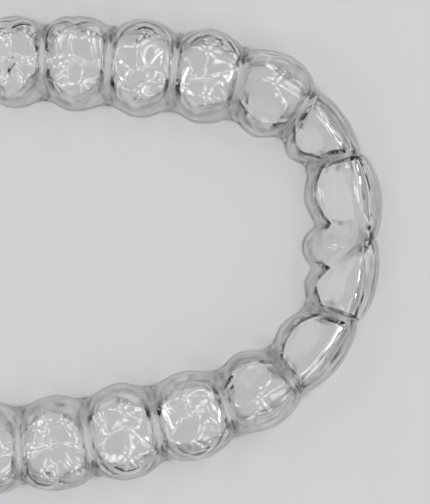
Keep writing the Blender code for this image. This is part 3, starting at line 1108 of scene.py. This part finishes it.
def pass_through(tree, shader):
    """Shadow and bounce rays go straight on, and lose more light where they graze the sheet."""
    path = tree.nodes.new("ShaderNodeLightPath")
    facing = tree.nodes.new("ShaderNodeLayerWeight").outputs["Facing"]
    tone = mapped(tree, facing, GRAZING_SPAN, LIGHT_LEFT)
    shade = tree.nodes.new("ShaderNodeCombineColor")
    for slot in shade.inputs[:3]:
        tree.links.new(tone, slot)
    clear = tree.nodes.new("ShaderNodeBsdfTransparent")
    tree.links.new(shade.outputs["Color"], clear.inputs["Color"])
    straight = math_node(tree, "MAXIMUM", path.outputs["Is Shadow Ray"], path.outputs["Is Diffuse Ray"])
    mix = tree.nodes.new("ShaderNodeMixShader")
    tree.links.new(straight, mix.inputs["Fac"])
    tree.links.new(shader.outputs["BSDF"], mix.inputs[1])
    tree.links.new(clear.outputs["BSDF"], mix.inputs[2])
    tree.links.new(mix.outputs["Shader"], tree.nodes["Material Output"].inputs["Surface"])


def shell_mesh(sheet, materials):
    """Mesh of the closed shell over the box of the CAD shell. Its trimmed edge has the second material."""
    steps = Steps(sheet.steps_along, sheet.steps_wall, sheet.steps_table, sheet.steps_end)
    points, faces, loop = outer_sheet(steps)
    shell_points, shell = thicken(points, faces, loop, sheet)
    mesh = bpy.data.meshes.new("formed_sheet")
    mesh.from_pydata((shell_points + row_shift(points)).tolist(), [], shell)
    for material in materials:
        mesh.materials.append(material)
    edge_start = 2 * len(faces)
    mesh.polygons.foreach_set("material_index", [0] * edge_start + [1] * (len(shell) - edge_start))
    solid = bmesh.new()
    solid.from_mesh(mesh)
    bmesh.ops.recalc_face_normals(solid, faces=solid.faces)
    solid.to_mesh(mesh)
    solid.free()
    mesh.shade_smooth()
    mesh.set_sharp_from_angle(angle=math.radians(SHARP_ANGLE))
    return mesh


class ALIGNER_OT_shell(bpy.types.Operator):
    """Build the clear shell with its tooth cups"""

    bl_idname = "aligner.shell"
    bl_label = "Aligner Shell"
    bl_options = {"REGISTER", "UNDO"}

    def execute(self, context):
        plastic = context.scene.aligner_plastic
        groups = forming_marks(), haze_specks()
        smooth = Finish(plastic.roughness, plastic.scuff_roughness, SHEET_GRAIN)
        cut = Finish(EDGE_POLISHED, EDGE_HAZY, EDGE_GRAIN)
        materials = (
            clear_material("clear_sheet", plastic, groups, smooth),
            clear_material("trimmed_edge", plastic, groups, cut),
        )
        piece = bpy.data.objects.new("formed_sheet", shell_mesh(context.scene.aligner_sheet, materials))
        context.scene.collection.objects.link(piece)
        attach(piece, "root")
        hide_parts("aligner_shell")
        return {"FINISHED"}


# Photograph's view: the camera looks straight down, with +X up in the frame and -Y to the right
FRAME_WIDE = 430
FRAME_HIGH = 504
MIDLINE_PIXEL = (345.0, 238.5)
PIXEL = 0.105 * MM
CUP_MIDDLE = 4.0 * MM
SENSOR = 36.0

# Floor
FLOOR_HALF = 3.0
FLOOR_DROP = 0.02 * MM
FLOOR_ROUGHNESS = 0.9
FLOOR_GLOSS = 0.1

# Lamps: direction round the aligner in degrees from -Y towards +X, and height above the floor in degrees
OVERHEAD_LAMP = (20, 86)
SOFT_LAMPS = ((2, 38), (48, 40), (95, 42), (182, 46), (266, 42), (312, 40))
ACCENT_LAMPS = ((47, 60), (133, 58), (228, 62), (312, 57))
LOW_LAMPS = ((340, 15), (20, 15), (52, 17), (95, 16), (180, 18), (265, 16), (308, 17))


def floor_material(colour):
    """Matt pale floor, even all over."""
    material = bpy.data.materials.new("pale_floor")
    material.use_nodes = True
    shader = material.node_tree.nodes["Principled BSDF"]
    shader.inputs["Base Color"].default_value = colour
    shader.inputs["Roughness"].default_value = FLOOR_ROUGHNESS
    shader.inputs["Specular IOR Level"].default_value = FLOOR_GLOSS
    return material


def add_floor(scene, stage):
    """Wide plain floor under the trim line."""
    mesh = bpy.data.meshes.new("studio_floor")
    corners = ((-1, -1), (1, -1), (1, 1), (-1, 1))
    points = [(x * FLOOR_HALF, y * FLOOR_HALF, -FLOOR_DROP) for x, y in corners]
    mesh.from_pydata(points, [], [(0, 1, 2, 3)])
    mesh.materials.append(floor_material(stage.floor_colour))
    floor = bpy.data.objects.new("studio_floor", mesh)
    scene.collection.objects.link(floor)


def add_lamp(scene, name, place, strength, size):
    """One distant lamp. Its size is the angle that it spans, seen from the aligner."""
    lamp = bpy.data.lights.new(name, "SUN")
    lamp.energy = strength
    lamp.angle = size
    turn, lift = (math.radians(angle) for angle in place)
    away = Vector((math.sin(turn) * math.cos(lift), -math.cos(turn) * math.cos(lift), math.sin(lift)))
    stand = bpy.data.objects.new(name, lamp)
    stand.location = away
    stand.rotation_euler = away.to_track_quat("Z", "Y").to_euler()
    scene.collection.objects.link(stand)


def add_lamps(scene, stage):
    """A crisp lamp overhead, softer ones round the aligner, and the even light of the room."""
    add_lamp(scene, "overhead_lamp", OVERHEAD_LAMP, stage.overhead_strength, stage.overhead_size)
    for place in SOFT_LAMPS:
        add_lamp(scene, "soft_lamp", place, stage.soft_strength, stage.soft_size)
    for place in ACCENT_LAMPS:
        add_lamp(scene, "accent_lamp", place, stage.accent_strength, stage.accent_size)
    for place in LOW_LAMPS:
        add_lamp(scene, "low_lamp", place, stage.low_strength, stage.low_size)
    world = bpy.data.worlds.new("studio_room")
    world.use_nodes = True
    room = world.node_tree.nodes["Background"]
    room.inputs["Color"].default_value = (1.0, 1.0, 1.0, 1.0)
    room.inputs["Strength"].default_value = stage.world_strength
    scene.world = world


def add_camera(scene, stage):
    """Camera straight above the aligner, framed as the photograph is."""
    shift = row_shift(outer_sheet(FEW_STEPS)[0])
    right = shift[1] - (FRAME_WIDE / 2 - MIDLINE_PIXEL[0]) * PIXEL
    up = shift[0] + (MIDLINE_PIXEL[1] - FRAME_HIGH / 2) * PIXEL
    lens = bpy.data.cameras.new("camera")
    lens.sensor_fit = "AUTO"
    lens.sensor_width = SENSOR
    lens.lens = SENSOR * stage.camera_height / (FRAME_HIGH * PIXEL)
    lens.clip_start = MM
    camera = bpy.data.objects.new("camera", lens)
    scene.collection.objects.link(camera)
    height = CUP_MIDDLE + stage.camera_height
    camera.matrix_world = Matrix(((0, 1, 0, up), (-1, 0, 0, right), (0, 0, 1, height), (0, 0, 0, 1)))
    scene.camera = camera


class ALIGNER_OT_stage(bpy.types.Operator):
    """Build the floor, the lamps and the camera"""

    bl_idname = "aligner.stage"
    bl_label = "Plain Studio"
    bl_options = {"REGISTER", "UNDO"}

    def execute(self, context):
        stage = context.scene.aligner_stage
        add_floor(context.scene, stage)
        add_lamps(context.scene, stage)
        add_camera(context.scene, stage)
        context.scene.view_settings.view_transform = "Standard"
        return {"FINISHED"}


class ALIGNER_PT_panel(bpy.types.Panel):
    """Aligner and studio"""

    bl_label = "Clear Aligner"
    bl_idname = "ALIGNER_PT_panel"
    bl_space_type = "VIEW_3D"
    bl_region_type = "UI"
    bl_category = "Aligner"

    def draw(self, context):
        layout = self.layout
        scene = context.scene
        for settings, operators in (
            (scene.aligner_sheet, (ALIGNER_OT_shell,)),
            (scene.aligner_plastic, ()),
            (scene.aligner_stage, (ALIGNER_OT_stage,)),
        ):
            box = layout.box()
            for name in settings.__annotations__:
                box.prop(settings, name)
            for operator in operators:
                box.operator(operator.bl_idname)


CLASSES = (
    SheetSettings,
    PlasticSettings,
    StageSettings,
    ALIGNER_OT_shell,
    ALIGNER_OT_stage,
    ALIGNER_PT_panel,
)


def register():
    """Adds the settings, the operators and the panel."""
    for one in CLASSES:
        bpy.utils.register_class(one)
    bpy.types.Scene.aligner_sheet = bpy.props.PointerProperty(type=SheetSettings)
    bpy.types.Scene.aligner_plastic = bpy.props.PointerProperty(type=PlasticSettings)
    bpy.types.Scene.aligner_stage = bpy.props.PointerProperty(type=StageSettings)


def unregister():
    """Takes the settings, the operators and the panel away."""
    del bpy.types.Scene.aligner_stage
    del bpy.types.Scene.aligner_plastic
    del bpy.types.Scene.aligner_sheet
    for one in reversed(CLASSES):
        bpy.utils.unregister_class(one)


def main():
    """Builds the aligner and its studio."""
    register()
    bpy.ops.aligner.shell()
    bpy.ops.aligner.stage()


if __name__ == "__main__":
    main()
